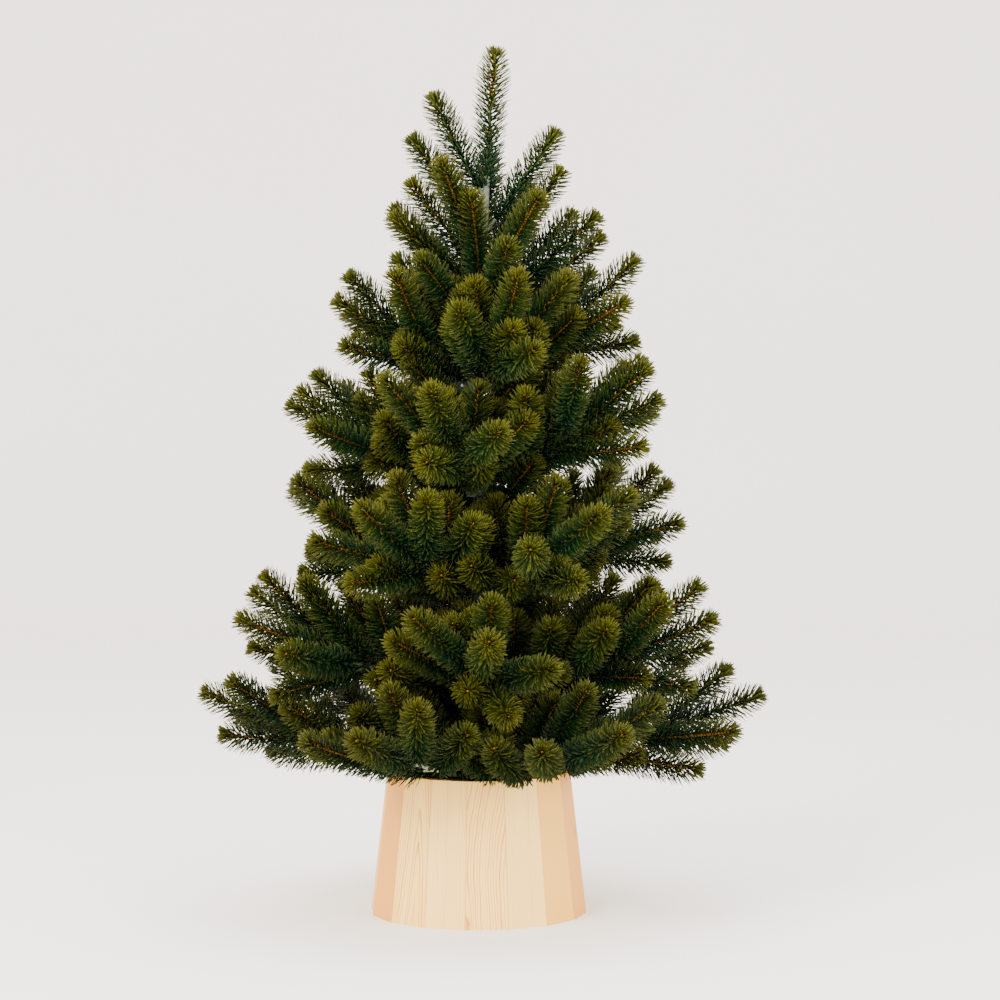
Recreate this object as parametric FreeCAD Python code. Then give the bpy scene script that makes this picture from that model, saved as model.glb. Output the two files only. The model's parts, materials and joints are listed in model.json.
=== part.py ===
import FreeCAD, Part
import math
import os
import random

# Artificial tabletop tree: a pole with five tiers of hinged, taped branches and a fixed crown,
# standing in a clamped socket inside a tapered collar of wooden staves.
# Millimetres, +Z up. The origin is on the floor, on the axis of the pole.
# Azimuths are in degrees about +Z from +X. The tree's front faces -Y.

Vector = FreeCAD.Vector
UP = Vector(0, 0, 1)
ORIGIN = Vector(0, 0, 0)

# Collar: a ring of flat staves that leans inwards towards its rim
STAVE_COUNT = 16
COLLAR_HEIGHT = 148.0
FOOT_RADIUS = 113.0
RIM_RADIUS = 96.0
STAVE_THICKNESS = 10.0
FIRST_CORNER = 263.5

# Stand: two crossed flat bars with turned-up tabs, and a welded socket for the pole
BAR_WIDTH = 25.0
BAR_THICKNESS = 3.0
BAR_BOTTOM = 6.0
TAB_TOP = 34.0
SOCKET_RADIUS = 10.2
SOCKET_BORE_RADIUS = 8.3
SOCKET_TOP = 84.0
NUT_RADIUS = 6.5
NUT_INNER_FACE = 8.9
NUT_OUTER_FACE = 15.0
CLAMP_HEIGHT = 66.0
CLAMP_AZIMUTH = 319.75

# Fixings
WOOD_SCREW_RADIUS = 2.0
WOOD_SCREW_POINT_RADIUS = 0.3
WOOD_SCREW_CLEARANCE = 0.1
WOOD_SCREW_BITE = 7.5
WOOD_SCREW_HEAD_RADIUS = 4.0
WOOD_SCREW_HEAD_HEIGHT = 2.2
WOOD_SCREW_HEIGHT = 22.0
CLAMP_SCREW_RADIUS = 3.0
CLAMP_KNOB_RADIUS = 9.0
CLAMP_KNOB_THICKNESS = 7.0
CLAMP_KNOB_START = 25.0
SHANK_OVERLAP = 1.0
KNOB_CHAMFER = 0.8
KNOB_FLUTES = 8
KNOB_FLUTE_RADIUS = 1.8
KNOB_FLUTE_OFFSET = 0.4

# Pole: a tube below, a rod above that leans a little
POLE_RADIUS = 8.0
POLE_WALL = 1.2
POLE_FOOT_GAP = 0.3
POLE_TUBE_TOP = 486.0
POLE_PLUG_DEPTH = 45.0
UPPER_ROD_RADIUS = 5.0
UPPER_ROD_TOP = 575.0
LEADER_ROD_RADIUS = 3.4
LEADER_LEAN_X = 8.5
LEADER_ROD_TOP = 764.0
LEADER_LENGTH = 136.0
LEADER_LEAN = 3.0

# Hubs and hinges
HUB_RADIUS = 14.5
HUB_HEIGHT = 14.0
EAR_ROOT_RADIUS = 12.0
PIVOT_RADIUS = 19.0
EAR_THICKNESS = 2.0
EAR_GAP = 6.0
EAR_REACH = 8.0
EAR_RISE = 4.5
EAR_DROP = 7.0
SHELF_START = 5.0
REST_GAP = 0.3
PIN_RADIUS = 1.5
EYE_RADIUS = 4.5
EYE_THICKNESS = 5.4
EYE_SLOT_GAP = 1.0
RUNNING_GAP = 0.05

# Branches
STEM_RADIUS = 2.5
TWIG_RADIUS = 1.7
CROWN_TWIG_RADIUS = 1.9
TWIG_LENGTH = 16.0
TWIG_OVERLAP = 1.5
TIP_NEEDLES = 7.0
CORE_PROFILE = [(0.0, 1.9), (0.12, 3.0), (0.4, 4.0), (0.75, 3.6), (1.0, 1.9)]

# Shoots along a stem: place along it, turn to the left, rise above the stem's plane, length.
# Left shoots rise and right shoots dip, so that neighbouring branches pass each other as they fold.
SKIRT_FORM = [
    (0.92, 31, 12, 120),
    (0.83, -34, -10, 120),
    (0.72, -3, 30, 110),
    (0.64, 45, 8, 116),
    (0.58, -28, -24, 112),
    (0.46, 6, 36, 98),
    (0.40, 55, 18, 104),
    (0.32, -55, -2, 100),
]
LARGE_FORM = [
    (0.92, 31, 14, 120),
    (0.83, -34, -8, 120),
    (0.72, -3, 30, 110),
    (0.62, 46, 8, 116),
    (0.54, -47, -6, 112),
    (0.44, -6, 29, 98),
    (0.36, 56, 18, 102),
    (0.30, -55, 2, 100),
]
MEDIUM_FORM = [
    (0.92, 33, 14, 116),
    (0.84, -35, -12, 116),
    (0.74, -2, 29, 108),
    (0.63, 46, 10, 112),
    (0.78, -14, -33, 104),
    (0.42, 4, 31, 96),
    (0.34, 47, 24, 98),
    (0.28, -52, 0, 96),
    (0.15, 18, 26, 88),
    (0.12, -24, -16, 86),
]
SMALL_FORM = [
    (0.90, 34, 14, 112),
    (0.80, -36, -12, 112),
    (0.68, 4, -34, 104),
    (0.54, -2, 20, 94),
    (0.46, 46, 24, 102),
    (0.36, -48, 13, 98),
    (0.14, 18, 22, 84),
    (0.11, -26, -5, 82),
]
TOP_FORM = [
    (0.86, 36, 12, 108),
    (0.72, -38, -10, 108),
    (0.58, 0, -36, 100),
    (0.46, 2, 32, 96),
    (0.34, 46, 31, 96),
    (0.26, -38, 2, 90),
    (0.12, 20, -8, 80),
]
TERMINAL_LENGTH = 124.0

# Tiers from the bottom up; a branch is (azimuth, lift, reach from the pivot, form)
TIERS = [
    {
        "height": 140.0,
        "fold": 22.0,
        "mirrored": False,
        "branches": [
            (182, 17, 288, SKIRT_FORM),
            (244, 14, 264, LARGE_FORM),
            (302, 14, 270, LARGE_FORM),
            (2, 16, 296, SKIRT_FORM),
            (62, 13, 270, LARGE_FORM),
            (122, 13, 270, LARGE_FORM),
        ],
    },
    {
        "height": 225.0,
        "fold": 26.0,
        "mirrored": True,
        "branches": [
            (200, 19, 260, MEDIUM_FORM),
            (272, 18, 246, MEDIUM_FORM),
            (340, 19, 258, MEDIUM_FORM),
            (48, 19, 250, MEDIUM_FORM),
            (124, 19, 250, MEDIUM_FORM),
        ],
    },
    {
        "height": 330.0,
        "fold": 25.0,
        "mirrored": False,
        "branches": [
            (162, 28, 223, MEDIUM_FORM),
            (236, 26, 214, MEDIUM_FORM),
            (308, 25, 214, MEDIUM_FORM),
            (20, 28, 233, MEDIUM_FORM),
            (88, 27, 222, MEDIUM_FORM),
        ],
    },
    {
        "height": 440.0,
        "fold": 22.0,
        "mirrored": True,
        "branches": [
            (176, 29, 204, SMALL_FORM),
            (254, 32, 192, SMALL_FORM),
            (336, 35, 218, SMALL_FORM),
            (72, 33, 206, SMALL_FORM),
        ],
    },
    {
        "height": 548.0,
        "fold": 12.0,
        "mirrored": False,
        "branches": [
            (196, 42, 170, TOP_FORM),
            (290, 44, 162, TOP_FORM),
            (8, 40, 204, TOP_FORM),
        ],
    },
]
TURN_SPREAD = 4.0
RISE_SPREAD = 3.0
LENGTH_SPREAD = 5.0

# Crown shoots, fixed to the upper rod: height, azimuth, lift, twig length, sprig length
CROWN = [
    (740, 172, 61, 12, 116),
    (704, 12, 53, 20, 118),
    (708, 192, 49, 12, 116),
    (674, 236, 50, 18, 116),
    (642, 262, 60, 12, 110),
    (664, 204, 47, 16, 112),
    (634, 168, 45, 26, 116),
    (672, 350, 48, 18, 116),
    (646, 312, 44, 22, 116),
    (628, 22, 42, 34, 118),
    (690, 84, 56, 12, 114),
    (652, 112, 50, 18, 116),
    (662, 52, 50, 16, 114),
    (604, 94, 38, 30, 116),
    (616, 128, 40, 26, 116),
]


def polar(radius, azimuth, height=0.0):
    angle = math.radians(azimuth)
    return Vector(radius * math.cos(angle), radius * math.sin(angle), height)


def save(node, solids):
    shape = solids[0] if len(solids) == 1 else Part.makeCompound(solids)
    shape.exportStep("parts/%s.step" % node)


def turned(shape, azimuth):
    shape.rotate(ORIGIN, UP, azimuth)
    return shape


def prism_from_profile(points, width):
    """Extrude a profile drawn in the X-Z plane to both sides along Y."""
    corners = [Vector(x, -width / 2, z) for x, z in points]
    face = Part.Face(Part.makePolygon(corners + corners[:1]))
    return face.extrude(Vector(0, width, 0))


def box(x_range, y_range, z_range):
    size = [high - low for low, high in (x_range, y_range, z_range)]
    return Part.makeBox(*size, Vector(x_range[0], y_range[0], z_range[0]))


# Collar


def outer_corner_radius(height):
    return FOOT_RADIUS + (RIM_RADIUS - FOOT_RADIUS) * height / COLLAR_HEIGHT


def inner_wall_distance(height):
    """Distance from the axis to the inner face of a stave, measured square to that face."""
    half_step = math.pi / STAVE_COUNT
    return outer_corner_radius(height) * math.cos(half_step) - STAVE_THICKNESS


def stave(index):
    step = 360.0 / STAVE_COUNT
    half_step = math.radians(step / 2)
    loops = []
    for height in (0.0, COLLAR_HEIGHT):
        outside = outer_corner_radius(height)
        inside = inner_wall_distance(height) / math.cos(half_step)
        start = FIRST_CORNER + index * step
        loops.append(
            [
                polar(outside, start, height),
                polar(outside, start + step, height),
                polar(inside, start + step, height),
                polar(inside, start, height),
            ]
        )
    low, high = loops
    sides = [
        [low[i], low[(i + 1) % 4], high[(i + 1) % 4], high[i]] for i in range(4)
    ]
    faces = [
        Part.Face(Part.makePolygon(loop + loop[:1])) for loop in [low, high] + sides
    ]
    return Part.Solid(Part.Shell(faces))


def arm_azimuths():
    first = FIRST_CORNER + 180.0 / STAVE_COUNT
    return [first + 90.0 * quarter for quarter in range(4)]


# Stand


def wood_screw_axis(azimuth):
    """Start point on the tab's inner face and direction into the stave."""
    lean = math.atan2(
        inner_wall_distance(0.0) - inner_wall_distance(COLLAR_HEIGHT), COLLAR_HEIGHT
    )
    inward = inner_wall_distance(WOOD_SCREW_HEIGHT) - BAR_THICKNESS / math.cos(lean)
    start = polar(inward, azimuth, WOOD_SCREW_HEIGHT)
    direction = polar(math.cos(lean), azimuth, math.sin(lean))
    return start, direction


def stand_arm(azimuth):
    top = BAR_BOTTOM + BAR_THICKNESS
    profile = [
        (0.0, BAR_BOTTOM),
        (inner_wall_distance(BAR_BOTTOM), BAR_BOTTOM),
        (inner_wall_distance(TAB_TOP), TAB_TOP),
        (inner_wall_distance(TAB_TOP) - BAR_THICKNESS, TAB_TOP),
        (inner_wall_distance(top) - BAR_THICKNESS, top),
        (0.0, top),
    ]
    arm = turned(prism_from_profile(profile, BAR_WIDTH), azimuth)
    start, direction = wood_screw_axis(azimuth)
    hole = Part.makeCylinder(
        WOOD_SCREW_RADIUS + WOOD_SCREW_CLEARANCE,
        4 * BAR_THICKNESS,
        start - direction * BAR_THICKNESS,
        direction,
    )
    return arm.cut(hole)


def clamp_nut():
    """Hexagonal nut welded to the socket, with its axis along X."""
    corners = [
        Vector(NUT_INNER_FACE, y, CLAMP_HEIGHT + z)
        for y, z in (
            (
                NUT_RADIUS * math.cos(math.radians(60 * i)),
                NUT_RADIUS * math.sin(math.radians(60 * i)),
            )
            for i in range(6)
        )
    ]
    face = Part.Face(Part.makePolygon(corners + corners[:1]))
    nut = face.extrude(Vector(NUT_OUTER_FACE - NUT_INNER_FACE, 0, 0))
    return turned(nut, CLAMP_AZIMUTH)


def stand_spider():
    base = BAR_BOTTOM + BAR_THICKNESS
    spider = Part.makeCylinder(
        SOCKET_RADIUS, SOCKET_TOP - BAR_BOTTOM, Vector(0, 0, BAR_BOTTOM), UP
    )
    for azimuth in arm_azimuths():
        spider = spider.fuse(stand_arm(azimuth))
    spider = spider.fuse(clamp_nut())
    bore = Part.makeCylinder(
        SOCKET_BORE_RADIUS, SOCKET_TOP - base, Vector(0, 0, base), UP
    )
    thread = Part.makeCylinder(
        CLAMP_SCREW_RADIUS + RUNNING_GAP,
        2 * NUT_OUTER_FACE,
        Vector(0, 0, CLAMP_HEIGHT),
        polar(1.0, CLAMP_AZIMUTH),
    )
    return spider.cut(bore).cut(thread).removeSplitter()


def wood_screw(azimuth):
    start, direction = wood_screw_axis(azimuth)
    head = Part.makeCone(
        WOOD_SCREW_HEAD_RADIUS,
        0.6 * WOOD_SCREW_HEAD_RADIUS,
        WOOD_SCREW_HEAD_HEIGHT,
        start,
        direction * -1,
    )
    length = BAR_THICKNESS + WOOD_SCREW_BITE
    point = 2 * WOOD_SCREW_RADIUS
    shank = Part.makeCylinder(WOOD_SCREW_RADIUS, length - point, start, direction)
    tip = Part.makeCone(
        WOOD_SCREW_RADIUS,
        WOOD_SCREW_POINT_RADIUS,
        point,
        start + direction * (length - point),
        direction,
    )
    return head.fuse(shank).fuse(tip).removeSplitter()


def clamp_screw():
    """Thumb screw, with its axis along X, that pinches the pole in the socket."""
    along = Vector(1, 0, 0)
    tip = Vector(POLE_RADIUS + REST_GAP, 0, CLAMP_HEIGHT)
    knob_start = Vector(CLAMP_KNOB_START, 0, CLAMP_HEIGHT)
    shank = Part.makeCylinder(
        CLAMP_SCREW_RADIUS, CLAMP_KNOB_START - tip.x + SHANK_OVERLAP, tip, along
    )
    knob = Part.makeCylinder(
        CLAMP_KNOB_RADIUS, CLAMP_KNOB_THICKNESS, knob_start, along
    )
    knob = knob.makeChamfer(KNOB_CHAMFER, [e for e in knob.Edges if e.Closed])
    for index in range(KNOB_FLUTES):
        angle = 2 * math.pi * index / KNOB_FLUTES
        flute_distance = CLAMP_KNOB_RADIUS + KNOB_FLUTE_OFFSET
        rim = Vector(0, math.cos(angle), math.sin(angle)) * flute_distance
        flute_start = knob_start - along * (CLAMP_KNOB_THICKNESS / 2) + rim
        flute = Part.makeCylinder(
            KNOB_FLUTE_RADIUS, 2 * CLAMP_KNOB_THICKNESS, flute_start, along
        )
        knob = knob.cut(flute)
    return turned(knob.fuse(shank).removeSplitter(), CLAMP_AZIMUTH)


# Pole


def leader_axis_x(height):
    share = (height - UPPER_ROD_TOP) / (LEADER_ROD_TOP - UPPER_ROD_TOP)
    return LEADER_LEAN_X * max(0.0, share)


def pole_tube():
    foot = BAR_BOTTOM + BAR_THICKNESS + POLE_FOOT_GAP
    length = POLE_TUBE_TOP - foot
    outside = Part.makeCylinder(POLE_RADIUS, length, Vector(0, 0, foot), UP)
    inside = Part.makeCylinder(POLE_RADIUS - POLE_WALL, length, Vector(0, 0, foot), UP)
    return outside.cut(inside)


def pole_rod():
    """Plug in the tube, a straight rod through the top hub, then the thin leaning leader rod."""
    plug = Part.makeCylinder(
        POLE_RADIUS - POLE_WALL,
        POLE_PLUG_DEPTH,
        Vector(0, 0, POLE_TUBE_TOP - POLE_PLUG_DEPTH),
        UP,
    )
    bend = Vector(0, 0, UPPER_ROD_TOP)
    straight = Part.makeCylinder(
        UPPER_ROD_RADIUS, UPPER_ROD_TOP - POLE_TUBE_TOP, Vector(0, 0, POLE_TUBE_TOP), UP
    )
    top = Vector(LEADER_LEAN_X, 0, LEADER_ROD_TOP)
    leader = Part.makeCone(
        UPPER_ROD_RADIUS, LEADER_ROD_RADIUS, (top - bend).Length, bend, top - bend
    )
    knuckle = Part.makeSphere(UPPER_ROD_RADIUS, bend)
    return plug.fuse([straight, knuckle, leader]).removeSplitter()


# Hubs, pins and branches


def pivot_point(hub_height, azimuth):
    return polar(PIVOT_RADIUS, azimuth, hub_height)


def hub_ears(hub_height, azimuth, lift):
    """Two ears beside the branch's eye, joined below it by the shelf that the stem rests on."""
    half_gap = EAR_GAP / 2
    outside = half_gap + EAR_THICKNESS
    radial = (EAR_ROOT_RADIUS, PIVOT_RADIUS + EAR_REACH)
    rise = (hub_height - EAR_DROP, hub_height + EAR_RISE)
    ears = box(radial, (half_gap, outside), rise).fuse(
        box(radial, (-outside, -half_gap), rise)
    )
    slope = math.radians(lift)
    under_stem = SHELF_START * math.tan(slope) - STEM_RADIUS / math.cos(slope)
    shelf = box(
        (PIVOT_RADIUS + SHELF_START, PIVOT_RADIUS + EAR_REACH),
        (-outside, outside),
        (hub_height - EAR_DROP, hub_height + under_stem - REST_GAP),
    )
    hole = Part.makeCylinder(
        PIN_RADIUS, 4 * outside, Vector(PIVOT_RADIUS, -2 * outside, hub_height), Vector(0, 1, 0)
    )
    return turned(ears.fuse(shelf).cut(hole), azimuth)


def hub(hub_height, branches, bore_radius):
    bottom = Vector(0, 0, hub_height - HUB_HEIGHT / 2)
    body = Part.makeCylinder(HUB_RADIUS, HUB_HEIGHT, bottom, UP)
    for azimuth, lift, _reach, _form in branches:
        slot = box(
            (PIVOT_RADIUS - EYE_RADIUS - EYE_SLOT_GAP, PIVOT_RADIUS),
            (-EAR_GAP / 2, EAR_GAP / 2),
            (hub_height - HUB_HEIGHT, hub_height + HUB_HEIGHT),
        )
        body = body.cut(turned(slot, azimuth))
        body = body.fuse(hub_ears(hub_height, azimuth, lift))
    bore = Part.makeCylinder(bore_radius, HUB_HEIGHT, bottom, UP)
    return body.cut(bore).removeSplitter()


def hinge_pin(hub_height, azimuth):
    half_length = EAR_GAP / 2 + EAR_THICKNESS
    pin = Part.makeCylinder(
        PIN_RADIUS, 2 * half_length, Vector(PIVOT_RADIUS, -half_length, hub_height), Vector(0, 1, 0)
    )
    return turned(pin, azimuth)


def sprig_core(base, direction, length):
    """Spindle that stands for the moulded twig of a sprig and its needle roots."""
    core_length = length - TIP_NEEDLES
    outline = [Vector(radius, 0, place * core_length) for place, radius in CORE_PROFILE]
    outline = [Vector(0, 0, 0)] + outline + [Vector(0, 0, core_length), Vector(0, 0, 0)]
    spindle = Part.Face(Part.makePolygon(outline)).revolve(ORIGIN, UP, 360)
    turn = FreeCAD.Rotation(UP, direction)
    spindle.Placement = FreeCAD.Placement(base, turn)
    return spindle


def branch_shoots(tier, index):
    """Every sprig of a branch: where its twig leaves the stem, its direction, twig and length."""
    hub_height = TIERS[tier]["height"]
    azimuth, lift, reach, form = TIERS[tier]["branches"][index]
    chance = random.Random(100 * tier + index)
    outward = polar(1.0, azimuth)
    left = polar(1.0, azimuth + 90)
    slope = math.radians(lift)
    along = outward * math.cos(slope) + UP * math.sin(slope)
    above = UP * math.cos(slope) - outward * math.sin(slope)
    pivot = pivot_point(hub_height, azimuth)
    stem_length = reach - TERMINAL_LENGTH
    shoots = [(pivot + along * stem_length, along, 0.0, TERMINAL_LENGTH)]
    for place, turn, rise, length in form:
        turn = turn + chance.uniform(-TURN_SPREAD, TURN_SPREAD)
        rise = rise + chance.uniform(-RISE_SPREAD, RISE_SPREAD)
        length = length + chance.uniform(-LENGTH_SPREAD, LENGTH_SPREAD)
        side = math.radians(-turn if TIERS[tier]["mirrored"] else turn)
        rise = math.radians(rise)
        direction = (
            along * (math.cos(rise) * math.cos(side))
            + left * (math.cos(rise) * math.sin(side))
            + above * math.sin(rise)
        )
        start = pivot + along * (place * stem_length)
        shoots.append((start, direction, TWIG_LENGTH, length))
    return pivot, along, stem_length, shoots


def branch_stem(tier, index):
    azimuth = TIERS[tier]["branches"][index][0]
    pivot, along, stem_length, shoots = branch_shoots(tier, index)
    across = polar(1.0, azimuth + 90)
    eye = Part.makeCylinder(
        EYE_RADIUS, EYE_THICKNESS, pivot - across * (EYE_THICKNESS / 2), across
    )
    wire = Part.makeCylinder(STEM_RADIUS, stem_length, pivot, along)
    bore = Part.makeCylinder(
        PIN_RADIUS + RUNNING_GAP, 2 * EYE_THICKNESS, pivot - across * EYE_THICKNESS, across
    )
    solids = [eye.fuse(wire).cut(bore).removeSplitter()]
    for start, direction, twig, _length in shoots[1:]:
        inset = STEM_RADIUS - TWIG_OVERLAP
        solids.append(
            Part.makeCylinder(
                TWIG_RADIUS, twig - inset, start + direction * inset, direction
            )
        )
    return solids


def branch_sprigs(tier, index):
    shoots = branch_shoots(tier, index)[3]
    return [
        sprig_core(start + direction * twig, direction, length)
        for start, direction, twig, length in shoots
    ]


# Crown


def crown_shoot(height, azimuth, lift, twig, length):
    start = Vector(leader_axis_x(height), 0, height)
    slope = math.radians(lift)
    direction = polar(math.cos(slope), azimuth, math.sin(slope))
    return start, direction, twig, length


def leader_shoot():
    slope = math.radians(90 - LEADER_LEAN)
    start = Vector(LEADER_LEAN_X, 0, LEADER_ROD_TOP)
    return start, polar(math.cos(slope), 0.0, math.sin(slope)), 0.0, LEADER_LENGTH


def crown_stems(rod):
    stems = []
    for row in CROWN:
        start, direction, twig, _length = crown_shoot(*row)
        stems.append(
            Part.makeCylinder(CROWN_TWIG_RADIUS, twig, start, direction).cut(rod)
        )
    return stems


def crown_sprigs():
    shoots = [crown_shoot(*row) for row in CROWN] + [leader_shoot()]
    return [
        sprig_core(start + direction * twig, direction, length)
        for start, direction, twig, length in shoots
    ]


def main():
    os.makedirs("parts", exist_ok=True)
    save("collar_staves", [stave(index) for index in range(STAVE_COUNT)])
    save("stand_spider", [stand_spider()])
    save("spider_screws", [wood_screw(azimuth) for azimuth in arm_azimuths()])
    save("clamp_screw", [clamp_screw()])
    save("pole_tube", [pole_tube()])
    rod = pole_rod()
    save("pole_rod", [rod])
    pins = []
    for tier, row in enumerate(TIERS):
        hub_height = row["height"]
        bore = POLE_RADIUS if hub_height < POLE_TUBE_TOP else UPPER_ROD_RADIUS
        save("hub_%d" % (tier + 1), [hub(hub_height, row["branches"], bore)])
        for index, branch in enumerate(row["branches"]):
            name = "tier_%d_branch_%s" % (tier + 1, "abcdef"[index])
            pins.append(hinge_pin(hub_height, branch[0]))
            save(name + "_stem", branch_stem(tier, index))
            save(name + "_sprigs", branch_sprigs(tier, index))
    save("hinge_pins", pins)
    save("crown_stems", crown_stems(rod))
    save("crown_sprigs", crown_sprigs())


main()
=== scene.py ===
import json
import math

import bmesh
import bpy
import numpy as np
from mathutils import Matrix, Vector


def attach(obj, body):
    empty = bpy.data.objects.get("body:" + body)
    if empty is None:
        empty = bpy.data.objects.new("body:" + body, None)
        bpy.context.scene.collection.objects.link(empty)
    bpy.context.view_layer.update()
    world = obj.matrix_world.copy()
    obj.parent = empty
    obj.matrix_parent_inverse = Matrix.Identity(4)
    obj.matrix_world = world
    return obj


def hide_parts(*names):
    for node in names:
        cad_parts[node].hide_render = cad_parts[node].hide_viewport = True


# Looks of an artificial tabletop tree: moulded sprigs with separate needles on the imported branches,
# taped wire, painted steel and a collar of pine staves. Metres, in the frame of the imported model.

MM = 0.001

# Sprigs
WHORL_PITCH = 3.2 * MM
WHORL_NEEDLES = 11
DOME_NEEDLES = 26
NEEDLE_LENGTH = 22.5 * MM
DOME_LENGTH = 13.5 * MM
NEEDLE_HALF_WIDTH = 0.94 * MM
NEEDLE_RING_PLACES = (0.0, 0.45, 0.88)
NEEDLE_RING_WIDTHS = (0.80, 1.0, 0.74)
NEEDLE_SPREAD = math.radians(69)
NEEDLE_END_SPREAD = math.radians(50)
NEEDLE_CURL = math.radians(21)
GOLDEN_ANGLE = math.pi * (3 - math.sqrt(5))
CORE_END_GAP = 7 * MM
TWIG_RADIUS = 1.7 * MM
TWIG_TIP_RADIUS = 0.9 * MM
LEADER_FOOT_RADIUS = 3.3 * MM
LEADER_FOOT_HEIGHT = 760 * MM
LEADER_START = -0.085
BUD_PLACES = np.array([1.0, 2.6, 3.8]) * MM
BUD_RADII = np.array([1.2, 1.35, 0.8]) * MM
TWIG_SIDES = 6
TWIG_RINGS = 9

NEEDLE_TRIANGLE = ((0, 1), (1, 2), (2, 0))
NEEDLE_POINTS = 10
TURN_JITTER = 0.12
SPREAD_JITTER = 4.0
CURL_JITTER = 3

# Extra sprigs on a branch: share of the stem, turn to the left, rise above the stem, length
FILLERS = [
    (0.10, 38, 50, 95),
    (0.14, -42, 46, 95),
    (0.30, -18, 50, 95),
    (0.50, 22, 44, 95),
    (0.64, -26, 24, 98),
    (0.24, 30, -16, 85),
    (0.60, -8, -20, 95),
]

# The lowest tier takes only the rising ones near the pole
LOWEST_DROOP = 180 * MM
LOWEST_TIER_REACH = 0.35

# Branches whose low sprigs curl up clear of the collar's rim, and how high their ends reach
OVER_COLLAR = ("tier_1_branch_b", "tier_1_branch_c")
OVER_COLLAR_HEIGHT = 192 * MM

# More of them on single branches, where the tree is fuller: the same four numbers
BRANCH_FILLERS = {
    "tier_1_branch_a": [(0.84, 8, -19, 116), (0.40, 25, -12, 100)],
    "tier_1_branch_d": [(0.82, 4, -19, 104), (0.35, -25, -10, 98)],
    "tier_2_branch_a": [
        (0.78, -18, -15, 122),
        (0.85, -10, 24, 134),
        (0.50, 0, 36, 120),
        (0.72, 6, 30, 124),
    ],
    "tier_2_branch_c": [
        (0.90, -4, 16, 134),
        (0.50, 0, 36, 124),
        (0.70, -6, 26, 126),
    ],
    "tier_3_branch_a": [
        (0.55, 14, -36, 124),
        (0.80, -10, 24, 116),
        (0.95, -8, 12, 126),
        (0.70, 4, -22, 104),
    ],
    "tier_3_branch_d": [
        (0.85, -20, 16, 126),
        (0.60, -10, 26, 120),
        (0.45, 0, 36, 114),
        (0.80, -4, -23, 104),
    ],
    "tier_4_branch_a": [
        (0.95, 0, -10, 122),
        (0.80, -4, 14, 130),
        (0.50, 6, 30, 118),
    ],
    "tier_4_branch_c": [
        (0.70, 6, 14, 124),
        (0.90, 4, 4, 124),
        (0.90, 8, -16, 116),
    ],
    "tier_5_branch_a": [(0.80, 0, -15, 120)],
}

# Extra sprigs round the pole between the tiers: height, count, lift, length. The front stays
# open above the lowest ring, where the taped wires show.
POLE_FILLERS = [
    (172, 7, 14, 100),
    (196, 6, 34, 92),
    (262, 7, 12, 104),
    (292, 7, 34, 96),
    (368, 7, 12, 104),
    (400, 7, 32, 96),
    (474, 6, 14, 100),
    (508, 7, 32, 96),
    (584, 6, 26, 96),
]

POLE_FILLER_ROOT = 12 * MM
POLE_PIECES = 3
POLE_FRONT_CLEAR = 0.74
LOWEST_POLE_FILLER = 200

# Extra sprigs on the upper rod: height, azimuth, lift, bare twig, length
CROWN_ROD = np.array([0.004, 0.0, 0.0])
CROWN_FILLERS = [
    (622, 350, 38, 44, 112),
    (606, 8, 36, 46, 112),
    (640, 184, 40, 20, 104),
    (612, 286, 36, 22, 104),
    (600, 232, 34, 22, 104),
    (630, 60, 40, 24, 104),
    (606, 150, 34, 26, 104),
]

# Collar
STAVE_BEVEL = 0.35 * MM
JOINT_LINE = 1.1 * MM
RINGS_PER_METRE = 330.0
KNOT_RADIUS = 4.2 * MM
STAVE_HALF_WIDTH = 22.05 * MM
STAVE_NARROWING = 0.0224
FRONT_SEAM = math.radians(263.5)
# Each stave from the front seam round to the right: where the tree's heart lies across and behind
# its face in metres, how fast the rings narrow upwards, how they bow, their lines' strength,
# the tone from tan to cream, and where a knot lies across and up.
STAVE_KEYS = (
    "ring_across",
    "ring_depth",
    "ring_slope",
    "ring_bow",
    "ring_strength",
    "stave_tone",
    "knot_across",
    "knot_up",
)
STAVE_LOOKS = [
    (0.034, 0.012, 0.015, 0.9, 0.85, 0.85, -0.019, 0.006),
    (0.080, 0.030, 0.004, 0.1, 0.30, 0.72, 0.5, 0.5),
    (0.095, 0.040, 0.002, 0.0, 0.14, 0.42, 0.5, 0.5),
    (-0.060, 0.030, 0.006, 0.1, 0.25, 0.12, 0.012, 0.086),
    (0.030, 0.015, 0.050, 0.3, 0.50, 0.55, 0.5, 0.5),
    (-0.070, 0.030, 0.003, 0.1, 0.35, 0.80, 0.5, 0.5),
    (0.010, 0.010, 0.070, -0.2, 0.70, 0.65, 0.004, 0.110),
    (0.065, 0.040, 0.005, 0.1, 0.30, 0.35, 0.5, 0.5),
    (-0.020, 0.014, 0.030, 0.6, 0.80, 0.90, 0.5, 0.5),
    (0.090, 0.030, 0.002, 0.0, 0.25, 0.60, 0.5, 0.5),
    (-0.012, 0.009, 0.060, 0.2, 0.75, 0.75, -0.008, 0.040),
    (0.070, 0.030, 0.004, 0.1, 0.30, 0.50, 0.5, 0.5),
    (0.050, 0.020, 0.010, 0.3, 0.35, 0.30, 0.5, 0.5),
    (-0.090, 0.040, 0.002, 0.1, 0.22, 0.10, 0.5, 0.5),
    (0.007, 0.006, 0.075, -0.3, 0.80, 0.95, 0.5, 0.5),
    (-0.075, 0.030, 0.002, 0.0, 0.40, 0.70, 0.5, 0.5),
]

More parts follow.
